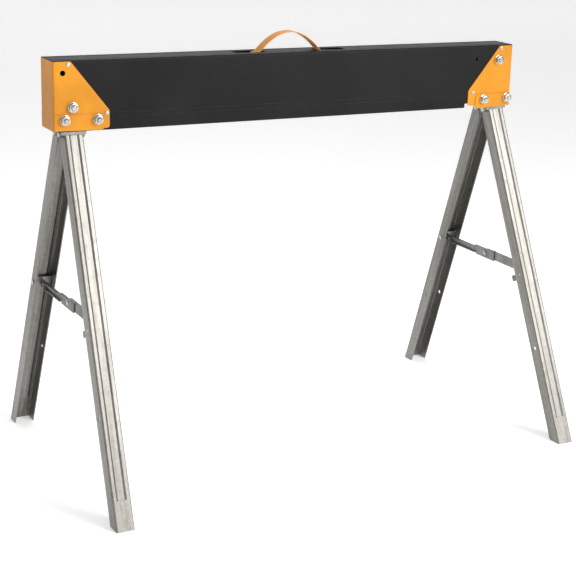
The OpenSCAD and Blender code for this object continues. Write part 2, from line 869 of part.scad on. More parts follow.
module clip_rivets(e, side) {
    color(bright)
        at_pin(e, side) {
            clip_rivet_shanks(side);
            if (side == FRONT) {
                rod_x(0, -brace_drop - clip_tail / 2, clip_rivet_head_r,
                      -front_leg_w / 2 + leg_t + brace_t,
                      -front_leg_w / 2 + leg_t + brace_t + clip_rivet_head_h);
            } else {
                rod_x(0, -brace_drop + clip_tail / 2, clip_rivet_head_r, rear_leg_w / 2,
                      rear_leg_w / 2 + clip_rivet_head_h);
                rod_x(-1, -brace_drop, clip_rivet_head_r, -rear_leg_w / 2 - clip_rivet_head_h,
                      -rear_leg_w / 2);
            }
        }
}

module brace_pin(e, side) {
    tip = ear_gap + brace_t;
    head = tip + clip_rivet_head_h;
    color(bright)
        at_pin(e, side)
            if (side == FRONT) {
                rod_x(-brace_u, -brace_drop, brace_pin_r, lap_gap, tip);
                rod_x(-brace_u, -brace_drop, brace_pin_r + 2, tip, head);
            } else {
                rod_x(-brace_u, -brace_drop, brace_pin_r, -tip, -lap_gap);
                rod_x(-brace_u, -brace_drop, brace_pin_r + 2, -head, -tip);
            }
}

// The front link: a plate with both edges turned outward, on the +X side
module front_link(e) {
    h = front_link_h / 2;
    end = link_len;
    color(zinc)
        at_brace(e, FRONT)
            difference() {
                union() {
                    plate_x(lap_gap, lap_gap + brace_t) {
                        translate([0, -clip_r])
                            square([notch, 2 * clip_r]);
                        circle(r = clip_r, $fn = small_fn);
                        translate([notch, -h])
                            square([end - notch, 2 * h]);
                        translate([end, 0])
                            circle(r = h, $fn = small_fn);
                    }
                    for (z = [-h, h - brace_t])
                        translate([lap_gap, notch, z])
                            cube([link_flange, end - notch, brace_t]);
                }
                rod_x(0, 0, brace_pin_r + run, -link_flange, link_flange + 1);
                rod_x(end, 0, brace_pin_r, -link_flange, link_flange + 1);
            }
}

// The rear link: the same on the -X side, with a wide end that laps the front
// link and a nub that stops it past straight
module rear_link(e) {
    h = rear_link_h / 2;
    end = link_len;
    color(zinc)
        at_brace(e, REAR)
            difference() {
                union() {
                    plate_x(-lap_gap - brace_t, -lap_gap) {
                        circle(r = h + 1, $fn = small_fn);
                        translate([0, -h])
                            square([end, 2 * h]);
                        translate([end - lap_reach, -lap_h / 2])
                            square([2 * lap_reach, lap_h]);
                    }
                    for (z = [-h, h - brace_t])
                        translate([-lap_gap - link_flange, notch, z])
                            cube([link_flange, end - lap_reach - notch, brace_t]);
                    translate([-lap_gap - link_flange, end - lap_reach, lap_h / 2 - brace_t])
                        cube([link_flange, 2 * lap_reach, brace_t]);
                    translate([-lap_gap - brace_t, end + lap_reach - nub_len,
                               front_link_h / 2 + gap])
                        cube([link_flange, nub_len, lap_h / 2 - front_link_h / 2 - gap + 1]);
                }
                rod_x(0, 0, brace_pin_r + run, -link_flange - 1, link_flange);
                rod_x(end, 0, brace_pin_r, -link_flange - 1, link_flange);
            }
}

module lap_rivet(e) {
    color(bright)
        at_brace(e, REAR) {
            rod_x(link_len, 0, brace_pin_r, -lap_gap - brace_t, -lap_gap);
            rod_x(link_len, 0, brace_pin_r + 2.5, -lap_gap - brace_t - clip_rivet_head_h,
                  -lap_gap - brace_t);
        }
}

module lap_cap(e) {
    color(bright)
        at_brace(e, FRONT) {
            rod_x(link_len, 0, brace_pin_r, lap_gap, lap_gap + brace_t);
            rod_x(link_len, 0, brace_pin_r + 2.5, lap_gap + brace_t,
                  lap_gap + brace_t + clip_rivet_head_h);
        }
}

// ---------- drawing ----------

beam_shell();
end_bracket(LEFT);  // end_bracket_left
end_bracket(RIGHT);  // end_bracket_right
saddle_plate(LEFT, FRONT);  // saddle_plate_left_front
saddle_plate(LEFT, REAR);  // saddle_plate_left_rear
saddle_plate(RIGHT, FRONT);  // saddle_plate_right_front
saddle_plate(RIGHT, REAR);  // saddle_plate_right_rear
bracket_rivets();
pivot_bolts();
pivot_nuts();
pivot_washers();
pivot_spacers();
stop_bolts();
stop_nuts();
stop_washers();
saddle_bolts();
saddle_nuts();
saddle_washers();
carry_strap();
strap_bars();
pivot_sleeve(LEFT);  // pivot_sleeve_left
leg_hanger(LEFT);  // leg_hanger_left
hinge_pins(LEFT);  // hinge_pins_left
hinge_washers(LEFT);  // hinge_washers_left
leg(LEFT, FRONT);  // leg_left_front
leg(LEFT, REAR);  // leg_left_rear
brace_clip(LEFT, FRONT);  // brace_clip_left_front
brace_clip(LEFT, REAR);  // brace_clip_left_rear
clip_rivets(LEFT, FRONT);  // clip_rivets_left_front
clip_rivets(LEFT, REAR);  // clip_rivets_left_rear
brace_pin(LEFT, FRONT);  // brace_pin_left_front
brace_pin(LEFT, REAR);  // brace_pin_left_rear
front_link(LEFT);  // brace_link_left_front
rear_link(LEFT);  // brace_link_left_rear
lap_rivet(LEFT);  // lap_rivet_left
lap_cap(LEFT);  // lap_cap_left
pivot_sleeve(RIGHT);  // pivot_sleeve_right
leg_hanger(RIGHT);  // leg_hanger_right
hinge_pins(RIGHT);  // hinge_pins_right
hinge_washers(RIGHT);  // hinge_washers_right
leg(RIGHT, FRONT);  // leg_right_front
leg(RIGHT, REAR);  // leg_right_rear
brace_clip(RIGHT, FRONT);  // brace_clip_right_front
brace_clip(RIGHT, REAR);  // brace_clip_right_rear
clip_rivets(RIGHT, FRONT);  // clip_rivets_right_front
clip_rivets(RIGHT, REAR);  // clip_rivets_right_rear
brace_pin(RIGHT, FRONT);  // brace_pin_right_front
brace_pin(RIGHT, REAR);  // brace_pin_right_rear
front_link(RIGHT);  // brace_link_right_front
rear_link(RIGHT);  // brace_link_right_rear
lap_rivet(RIGHT);  // lap_rivet_right
lap_cap(RIGHT);  // lap_cap_right
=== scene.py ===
"""Dresses the folding sawhorse: finishes, fasteners, carry strap, floor, lights and camera."""

import json
import logging
import math
import random
from dataclasses import dataclass, field
from enum import Enum
from typing import Callable, Iterable, Optional, Sequence, Union

import bmesh
import bpy
from mathutils import Matrix, Vector


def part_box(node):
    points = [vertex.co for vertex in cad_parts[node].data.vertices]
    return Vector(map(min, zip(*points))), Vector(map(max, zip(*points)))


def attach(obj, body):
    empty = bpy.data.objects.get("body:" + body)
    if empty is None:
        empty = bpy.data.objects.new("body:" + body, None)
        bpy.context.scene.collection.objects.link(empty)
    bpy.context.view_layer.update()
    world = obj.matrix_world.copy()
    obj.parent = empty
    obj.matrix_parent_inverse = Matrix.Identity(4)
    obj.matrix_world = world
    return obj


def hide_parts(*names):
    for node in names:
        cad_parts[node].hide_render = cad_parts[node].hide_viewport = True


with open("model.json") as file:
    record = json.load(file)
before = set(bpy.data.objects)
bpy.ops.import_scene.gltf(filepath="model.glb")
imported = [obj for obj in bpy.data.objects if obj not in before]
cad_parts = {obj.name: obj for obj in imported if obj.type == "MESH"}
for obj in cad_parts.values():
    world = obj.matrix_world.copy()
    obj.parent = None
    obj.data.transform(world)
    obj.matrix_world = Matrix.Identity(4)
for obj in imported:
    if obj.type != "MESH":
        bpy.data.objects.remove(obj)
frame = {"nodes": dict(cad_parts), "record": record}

log = logging.getLogger("sawhorse")

MM = 0.001
Colour = tuple[float, float, float]
ENDS = ("left", "right")
SIDES = ("front", "rear")


# ---------- shader maths ----------


class Val:
    """A socket that carries a number, written about as a Python number."""

    def __init__(self, graph: "Graph", socket: bpy.types.NodeSocket) -> None:
        """Keep the graph that the maths is added to.

        Args:
            graph: the material's node graph.
            socket: the output that holds the number.
        """
        self.graph = graph
        self.socket = socket

    def _math(self, operation: str, *values: "Num") -> "Val":
        """Add one Math node.

        Args:
            operation: Blender's name for the operation.
            values: the node's inputs, in order.

        Returns:
            The node's result.
        """
        links = dict(enumerate(values))
        return self.graph.value("ShaderNodeMath", {"operation": operation}, links)

    def __add__(self, other: "Num") -> "Val":
        """Sum."""
        return self._math("ADD", self, other)

    __radd__ = __add__

    def __mul__(self, other: "Num") -> "Val":
        """Product."""
        return self._math("MULTIPLY", self, other)

    __rmul__ = __mul__

    def __sub__(self, other: "Num") -> "Val":
        """Difference."""
        return self._math("SUBTRACT", self, other)

    def __rsub__(self, other: "Num") -> "Val":
        """Difference with the number first."""
        return self._math("SUBTRACT", other, self)

    def __truediv__(self, other: "Num") -> "Val":
        """Quotient."""
        return self._math("DIVIDE", self, other)

    def __rtruediv__(self, other: "Num") -> "Val":
        """Quotient with the number first."""
        return self._math("DIVIDE", other, self)

    def __pow__(self, other: "Num") -> "Val":
        """Power."""
        return self._math("POWER", self, other)

    def sin(self) -> "Val":
        """Sine, in radians."""
        return self._math("SINE", self)

    def step(self, low: float, high: float) -> "Val":
        """Rise smoothly from 0 at low to 1 at high.

        Args:
            low: value that gives 0.
            high: value that gives 1.

        Returns:
            The smoothed step, clamped to 0 and 1.
        """
        settings = {"interpolation_type": "SMOOTHSTEP", "clamp": True}
        return self.graph.value("ShaderNodeMapRange", settings,
                                {"Value": self, "From Min": low, "From Max": high})


Num = Union[Val, float, int]
Input = Union[Val, bpy.types.NodeSocket, float, Sequence[float]]


class Graph:
    """The node graph of one material, ending in a Principled shader."""

    def __init__(self, name: str) -> None:
        """Start an empty material.

        Args:
            name: the material's name.
        """
        self.material = bpy.data.materials.new(name)
        self.material.use_nodes = True
        self.tree = self.material.node_tree
        self.tree.nodes.clear()

    def add(self, kind: str, settings: Optional[dict] = None,
            links: Optional[dict] = None) -> bpy.types.Node:
        """Add any node.

        Args:
            kind: the node's type.
            settings: attributes set before the sockets; "stops" fills a ramp.
            links: socket name or index to a value, a colour, a Val or a socket.

        Returns:
            The new node.
        """
        made = self.tree.nodes.new(kind)
        for key, value in (settings or {}).items():
            if key == "stops":
                self._fill_ramp(made.color_ramp, value)
            else:
                setattr(made, key, value)
        for key, value in (links or {}).items():
            socket = made.inputs[key]
            if isinstance(value, Val):
                self.tree.links.new(value.socket, socket)
            elif isinstance(value, bpy.types.NodeSocket):
                self.tree.links.new(value, socket)
            elif isinstance(value, (int, float)):
                socket.default_value = value
            else:
                size = len(socket.default_value)
                socket.default_value = tuple(value)[:size] + (1.0,) * (size - len(value))
        return made

    @staticmethod
    def _fill_ramp(ramp: bpy.types.ColorRamp, stops: Sequence[tuple[float, Colour]]) -> None:
        """Set a ramp's stops.

        Args:
            ramp: the ramp to fill.
            stops: place and colour of each stop.
        """
        while len(ramp.elements) < len(stops):
            ramp.elements.new(1.0)
        for element, (place, colour) in zip(ramp.elements, stops):
            element.position = place
            element.color = (*colour, 1.0)

    def value(self, kind: str, settings: Optional[dict] = None, links: Optional[dict] = None,
              out: Union[int, str] = 0) -> Val:
        """Add a node and take one of its outputs as a number."""
        return Val(self, self.add(kind, settings, links).outputs[out])

    def place(self) -> bpy.types.NodeSocket:
        """Position on the piece, in metres, moving with it."""
        return self.add("ShaderNodeTexCoord").outputs["Object"]

    def turned(self, turn: Sequence[float], stretch: Sequence[float]) -> bpy.types.NodeSocket:
        """Position turned to a piece's own axes and then stretched.

        Args:
            turn: angles about X, Y and Z in radians.
            stretch: factors along the turned axes.

        Returns:
            The vector socket.
        """
        turned = self.add("ShaderNodeVectorRotate", {"rotation_type": "EULER_XYZ"},
                          {"Vector": self.place(), "Rotation": turn})
        return self.add("ShaderNodeVectorMath", {"operation": "MULTIPLY"},
                        {0: turned.outputs[0], 1: stretch}).outputs[0]

    def noise(self, scale: float, detail: float = 2.0, vector: Optional[Input] = None,
              rough: float = 0.5) -> Val:
        """Smooth noise from 0 to 1.

        Args:
            scale: cells to the metre.
            detail: octaves of finer noise.
            vector: where to read it; the piece's own position if left out.
            rough: weight of the finer octaves.

        Returns:
            The noise.
        """
        where = self.place() if vector is None else vector
        return self.value("ShaderNodeTexNoise", {}, {"Vector": where, "Scale": scale,
                                                     "Detail": detail, "Roughness": rough})

    def cells(self, scale: float, vector: Optional[Input] = None) -> Val:
        """A random number for each crystal-like cell."""
        where = self.place() if vector is None else vector
        colour = self.add("ShaderNodeTexVoronoi", {"feature": "F1"},
                          {"Vector": where, "Scale": scale}).outputs["Color"]
        return self.value("ShaderNodeSeparateColor", {}, {0: colour}, "Red")

    def edges(self, radius: float) -> Val:
        """How near a sharp edge is: 0 on flats, rising to about 0.3 at edges.

        Args:
            radius: how far the effect reaches, in metres.

        Returns:
            The edge mask.
        """
        bent = self.add("ShaderNodeBevel", {"samples": 4}, {"Radius": radius}).outputs[0]
        flat = self.add("ShaderNodeNewGeometry").outputs["Normal"]
        dot = self.value("ShaderNodeVectorMath", {"operation": "DOT_PRODUCT"},
                         {0: bent, 1: flat}, "Value")
        return 1.0 - dot

    def mix(self, factor: Num, first: Input, second: Input) -> bpy.types.NodeSocket:
        """Blend two colours.

        Args:
            factor: 0 gives the first, 1 the second.
            first: a colour or a colour socket.
            second: a colour or a colour socket.

        Returns:
            The blended colour.
        """
        links = {0: factor, 6: first, 7: second}
        return self.add("ShaderNodeMix", {"data_type": "RGBA"}, links).outputs[2]

    def bump(self, height: Val, depth: float, normal: Optional[Input] = None) -> Input:
        """Surface normal bent by a height.

        Args:
            height: the height pattern, about 0 to 1.
            depth: metres from its low to its high.
            normal: a normal to start from.

        Returns:
            The bent normal.
        """
        links = {"Height": height, "Distance": depth, "Strength": 1.0}
        if normal is not None:
            links["Normal"] = normal
        return self.add("ShaderNodeBump", {}, links).outputs[0]

    def soft_edges(self, radius: float) -> bpy.types.NodeSocket:
        """Normal rounded over at sharp edges."""
        return self.add("ShaderNodeBevel", {"samples": 4}, {"Radius": radius}).outputs[0]

    def finish(self, **sockets: Input) -> bpy.types.Material:
        """Close the graph with a Principled shader.

        Args:
            sockets: the shader's inputs, with _ for each space in a name.

        Returns:
            The finished material.
        """
        links = {key.replace("_", " "): value for key, value in sockets.items()}
        shader = self.add("ShaderNodeBsdfPrincipled", {}, links)
        self.add("ShaderNodeOutputMaterial", {}, {"Surface": shader.outputs[0]})
        return self.material


# ---------- finishes ----------


@dataclass(frozen=True)
class PowderCoat:
    """Sprayed and baked paint on sheet steel, with its fine orange peel."""

    name: str
    colour: Colour
    worn: Colour
    roughness: float
    chip: float = 0.5
    dust: float = 0.1
    coat: float = 0.25
    shine: float = 0.5

    def build(self) -> bpy.types.Material:
        """Make the material.

        Returns:
            The material.
        """
        g = Graph(self.name)
        cloud = g.noise(7.0, 4.0)
        peel = g.noise(900.0, 2.0)
        grit = g.noise(260.0, 5.0, rough=0.65)
        edge = g.edges(1.1 * MM)
        chips = (edge * 3.0 + (grit - 0.5) * 0.9).step(1.0 - self.chip, 1.15)
        # Painted highlight: sharp edges get a paler, brighter copy of the paint colour.
        edge_highlight = (edge * 3.0).step(0.15, 0.9) * 0.35
        haze = g.noise(22.0, 6.0, rough=0.7).step(0.52, 0.78) * self.dust
        pale = tuple(min(1.0, c * 1.14 + 0.002) for c in self.colour)
        deep = tuple(c * 0.86 for c in self.colour)
        paint = g.mix(cloud.step(0.35, 0.65), deep, pale)
        # Mix the painted edge highlight into the paint.
        paint = g.mix(edge_highlight, paint, tuple(min(1.0, c * 1.5 + 0.02) for c in self.colour))
        paint = g.mix(haze, paint, (0.55, 0.52, 0.47))
        paint = g.mix(chips, paint, self.worn)
        rough = self.roughness + (cloud - 0.5) * 0.12 + haze * 0.6 + grit * 0.06 - chips * 0.08
        normal = g.bump(peel + grit * 0.4, 0.02 * MM, g.soft_edges(0.7 * MM))
        return g.finish(Base_Color=paint, Roughness=rough, Normal=normal, Metallic=chips * 0.8,
                        Coat_Weight=self.coat, Coat_Roughness=0.22, Specular_IOR_Level=self.shine)


@dataclass(frozen=True)
class Galvanised:
    """Rolled steel strip dipped in zinc: spangle, rolling streaks and dull film."""

    name: str
    colour: Colour
    film: Colour
    roughness: float
    splay: float
    lean: float

    def build(self) -> bpy.types.Material:
        """Make the material with its streaks along the leg.

        Returns:
            The material.
        """
        g = Graph(self.name)
        turn = (-self.splay, self.lean, 0.0)
        along = g.turned(turn, (300.0, 300.0, 3.0))
        broad = g.turned(turn, (26.0, 26.0, 1.6))
        streak = g.noise(1.0, 3.0, along)
        cloud = g.noise(1.0, 4.0, broad, 0.6)
        spangle = g.cells(190.0)
        grime = g.noise(60.0, 6.0, rough=0.7).step(0.5, 0.75)
        edge = g.edges(1.0 * MM)
        tone = (cloud * 0.55 + spangle * 0.08 + streak * 0.37).step(0.22, 0.82)
        steel = g.mix(tone, self.film, self.colour)
        steel = g.mix(grime * 0.12, steel, (0.12, 0.11, 0.09))
        # Painted highlight: sharp edges are mixed towards a pale grey.
        steel = g.mix((edge * 3.0).step(0.2, 1.0) * 0.4, steel, (0.62, 0.61, 0.60))
        rough = self.roughness + (cloud - 0.5) * 0.12 + (spangle - 0.5) * 0.04 + grime * 0.08
        normal = g.bump(streak * 0.7 + spangle * 0.15 + grime * 0.3, 0.025 * MM,
                        g.soft_edges(0.6 * MM))
        return g.finish(Base_Color=steel, Roughness=rough, Normal=normal, Metallic=0.92)


@dataclass(frozen=True)
class ZincPlate:
    """Pressed steel with dull zinc plate: cloudy, with darker handling marks."""

    name: str
    colour: Colour
    dark: Colour
    roughness: float
    grain: float = 420.0

    def build(self) -> bpy.types.Material:
        """Make the material.

        Returns:
            The material.
        """
        g = Graph(self.name)
        cloud = g.noise(34.0, 5.0, rough=0.6)
        pit = g.noise(self.grain, 4.0, rough=0.7)
        stain = g.noise(85.0, 6.0, rough=0.75).step(0.55, 0.8)
        edge = g.edges(0.7 * MM)
        # Painted highlight: sharp edges are mixed towards near white, and are given lower
        # roughness.
        bright = (edge * 3.0).step(0.25, 1.0)
        steel = g.mix(cloud.step(0.3, 0.7), self.dark, self.colour)
        steel = g.mix(stain * 0.5, steel, tuple(c * 0.45 for c in self.dark))
        steel = g.mix(bright * 0.55, steel, (0.82, 0.81, 0.79))
        rough = self.roughness + (cloud - 0.5) * 0.16 + stain * 0.15 - bright * 0.1
        normal = g.bump(pit + stain * 0.5, 0.02 * MM, g.soft_edges(0.45 * MM))
        return g.finish(Base_Color=steel, Roughness=rough, Normal=normal, Metallic=0.95)


@dataclass(frozen=True)
class Webbing:
    """Woven webbing: warp ribs along the strap, crossed by fine weft rows."""

    name: str
    colour: Colour
    shade: Colour
    warp_pitch: float = 1.15 * MM
    weft_pitch: float = 0.9 * MM

    def build(self) -> bpy.types.Material:
        """Make the weave from the strap's own length and width map.

        Returns:
            The material.
        """
        g = Graph(self.name)
        cloth = g.add("ShaderNodeUVMap", {"uv_map": "cloth"}).outputs[0]
        axes = g.add("ShaderNodeSeparateXYZ", {}, {0: cloth})
        length, width = Val(g, axes.outputs[0]), Val(g, axes.outputs[1])
        warp = width * (math.tau / self.warp_pitch)
        weft = length * (math.tau / self.weft_pitch)
        rib = (warp.sin() * 0.5 + 0.5) ** 0.6
        over = ((weft + warp.sin() * 1.6).sin() * 0.5 + 0.5)
        weave = rib * 0.65 + over * 0.45
        fuzz = g.noise(2600.0, 3.0)
        soil = g.noise(40.0, 5.0, rough=0.65).step(0.45, 0.8)
        tone = (weave * 0.75 + fuzz * 0.3).step(0.15, 0.95)
        thread = g.mix(tone, self.shade, self.colour)
        thread = g.mix(soil * 0.2, thread, tuple(c * 0.5 for c in self.shade))
        normal = g.bump(weave + fuzz * 0.25, 0.22 * MM)
        return g.finish(Base_Color=thread, Roughness=0.78 + (fuzz - 0.5) * 0.2, Normal=normal,
                        Sheen_Weight=0.35, Sheen_Roughness=0.4)


@dataclass(frozen=True)
class SewingThread:
    """Twisted polyester thread."""

    name: str
    colour: Colour

    def build(self) -> bpy.types.Material:
        """Make the material.

        Returns:
            The material.
        """
        g = Graph(self.name)
        twist = g.noise(3200.0, 2.0)
        shade = tuple(c * 0.55 for c in self.colour)
        return g.finish(Base_Color=g.mix(twist, shade, self.colour),
                        Roughness=0.6 + (twist - 0.5) * 0.2, Normal=g.bump(twist, 0.08 * MM))


@dataclass(frozen=True)
class StudioFloor:
    """Matt pale paper under the stand."""

    name: str
    colour: Colour

    def build(self) -> bpy.types.Material:
        """Make the material.

        Returns:
            The material.
        """
        g = Graph(self.name)
        cloud = g.noise(1.5, 3.0)
        deep = tuple(c * 0.985 for c in self.colour)
        return g.finish(Base_Color=g.mix(cloud, deep, self.colour),
                        Roughness=0.85 + (cloud - 0.5) * 0.1,
                        Emission_Color=(1.0, 1.0, 1.0), Emission_Strength=0.38)


# ---------- mesh helpers ----------

Ring = tuple[float, Callable[[float], float]]


def around(radius: float) -> Callable[[float], float]:
    """Outline of a circle, as a radius for each angle."""
    return lambda angle: radius


def hexagon(flat: float, limit: float) -> Callable[[float], float]:
    """Outline of a hexagon whose corners are turned down to a circle.

    Args:
        flat: distance from the middle to a flat.
        limit: largest radius.

    Returns:
        A radius for each angle.
    """
    def radius(angle: float) -> float:
        """Radius at one angle."""
        near = (angle + math.pi / 6) % (math.pi / 3) - math.pi / 6
        return min(flat / math.cos(near), limit)
    return radius


@dataclass(frozen=True)
class Spindle:
    """Where a round piece lies: its foot, its direction and its length."""

    foot: Vector
    axis: Vector
    length: float
    radius: float

    def matrix(self) -> Matrix:
        """Turn that takes local +Z to the axis, and local 0 to the foot.

        Returns:
            The placing matrix.
        """
        turn = Vector((0, 0, 1)).rotation_difference(self.axis).to_matrix().to_4x4()
        return Matrix.Translation(self.foot) @ turn


class Workshop:
    """Makes meshes, gives them finishes and puts them on bodies."""

    def __init__(self) -> None:
        """Index the joints and the bodies of the nodes."""
        self.joints = {j["name"]: j for j in frame["record"]["behaviour"]["joints"]}
        bodies = frame["record"]["behaviour"]["bodies"]
        self.body_of = {node: body for body, nodes in bodies.items() for node in nodes}

    @staticmethod
    def solids(node: str) -> list[list[Vector]]:
        """Split a node's mesh into the points of its separate solids.

        Args:
            node: the node's name.

        Returns:
            One list of points per solid, from low X to high X.
        """
        mesh = bmesh.new()
        mesh.from_mesh(frame["nodes"][node].data)
        bmesh.ops.remove_doubles(mesh, verts=mesh.verts, dist=1e-6)
        found, seen = [], set()
        for start in mesh.verts:
            if start in seen:
                continue
            stack, points = [start], []
            seen.add(start)
            while stack:
                vert = stack.pop()
                points.append(vert.co.copy())
                for edge in vert.link_edges:
                    other = edge.other_vert(vert)
                    if other not in seen:
                        seen.add(other)
                        stack.append(other)
            found.append(points)
        mesh.free()
        return sorted(found, key=lambda pts: (round(min(p.x for p in pts), 4),
                                              round(min(p.y for p in pts), 4)))

    @staticmethod
    def spindle(points: Sequence[Vector], axis: Vector) -> Spindle:
        """Measure a round solid along its axis.

        Args:
            points: the solid's points.
            axis: unit vector along it; the foot is at its low end.

        Returns:
            The solid's place.
        """
        across = axis.orthogonal().normalized()
        other = axis.cross(across)
        spans = [(min(p.dot(v) for p in points), max(p.dot(v) for p in points))
                 for v in (axis, across, other)]
        middle = across * sum(spans[1]) / 2 + other * sum(spans[2]) / 2
        radius = max(((p - middle) - axis * (p - middle).dot(axis)).length for p in points)
        return Spindle(middle + axis * spans[0][0], axis, spans[0][1] - spans[0][0], radius)

    @staticmethod
    def ring_mesh(name: str, stacks: Sequence[Sequence[Ring]], place: Matrix,
                  count: int = 48) -> bpy.types.Object:
        """Skin stacks of rings, each stack a closed solid.

        Args:
            name: the piece's name.
            stacks: for each solid, its rings as height and outline.
            place: where local 0 and +Z go.
            count: points round each ring.

        Returns:
            The new object.
        """
        mesh = bmesh.new()
        angles = [math.tau * i / count for i in range(count)]
        for rings in stacks:
            rows = [[mesh.verts.new((r(a) * math.cos(a), r(a) * math.sin(a), z))
                     for a in angles] for z, r in rings]
            closed = rows[0][0].co == rows[-1][0].co
            pairs = list(zip(rows, rows[1:]))
            for low, high in pairs:
                for i in range(count):
                    j = (i + 1) % count
                    mesh.faces.new((low[i], low[j], high[j], high[i]))
            if not closed:
                mesh.faces.new(list(reversed(rows[0])))
                mesh.faces.new(rows[-1])
        bmesh.ops.remove_doubles(mesh, verts=mesh.verts, dist=1e-7)
        bmesh.ops.recalc_face_normals(mesh, faces=mesh.faces)
        return Workshop.object_from(mesh, name, place)

    @staticmethod
    def object_from(mesh: bmesh.types.BMesh, name: str,
                    place: Optional[Matrix] = None, smooth: float = 38.0) -> bpy.types.Object:
        """Turn a bmesh into an object.

        Args:
            mesh: the mesh, which is freed.
            name: the object's name.
            place: matrix baked into the mesh.
            smooth: edges flatter than this many degrees are shaded smooth.

        Returns:
            The object, at the origin.
        """
        if place is not None:
            mesh.transform(place)
        data = bpy.data.meshes.new(name)
        mesh.to_mesh(data)
        mesh.free()
        data.shade_smooth()
        data.set_sharp_from_angle(angle=math.radians(smooth))
        made = bpy.data.objects.new(name, data)
        bpy.context.scene.collection.objects.link(made)
        return made

    def fit(self, piece: bpy.types.Object, material: bpy.types.Material, slot: str,
            nodes: Iterable[str], body: Optional[str] = None) -> bpy.types.Object:
        """Dress a piece and put it in the place of some nodes.

        Args:
            piece: the new piece.
            material: its finish.
            slot: the record's material slot; not used.
            nodes: the nodes it stands for.
            body: the body it rides on; the first node's body if left out.

        Returns:
            The piece.
        """
        piece.data.materials.clear()
        piece.data.materials.append(material)
        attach(piece, body or self.body_of[next(iter(nodes))])
        if nodes:
            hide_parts(*nodes)
        return piece

    @staticmethod
    def paint(nodes: Iterable[str], material: bpy.types.Material) -> None:
        """Give carried-over nodes a finish.

        Args:
            nodes: node names.
            material: the finish.
        """
        for node in nodes:
            slots = frame["nodes"][node].data.materials
            slots.clear()
            slots.append(material)


# ---------- fasteners ----------


class Kind(Enum):
    """The sorts of bolt on the beam."""

    THROUGH = "hex head at the rear, nut at the front"
    CARRIAGE = "thin flat head inside the beam, nut outside"


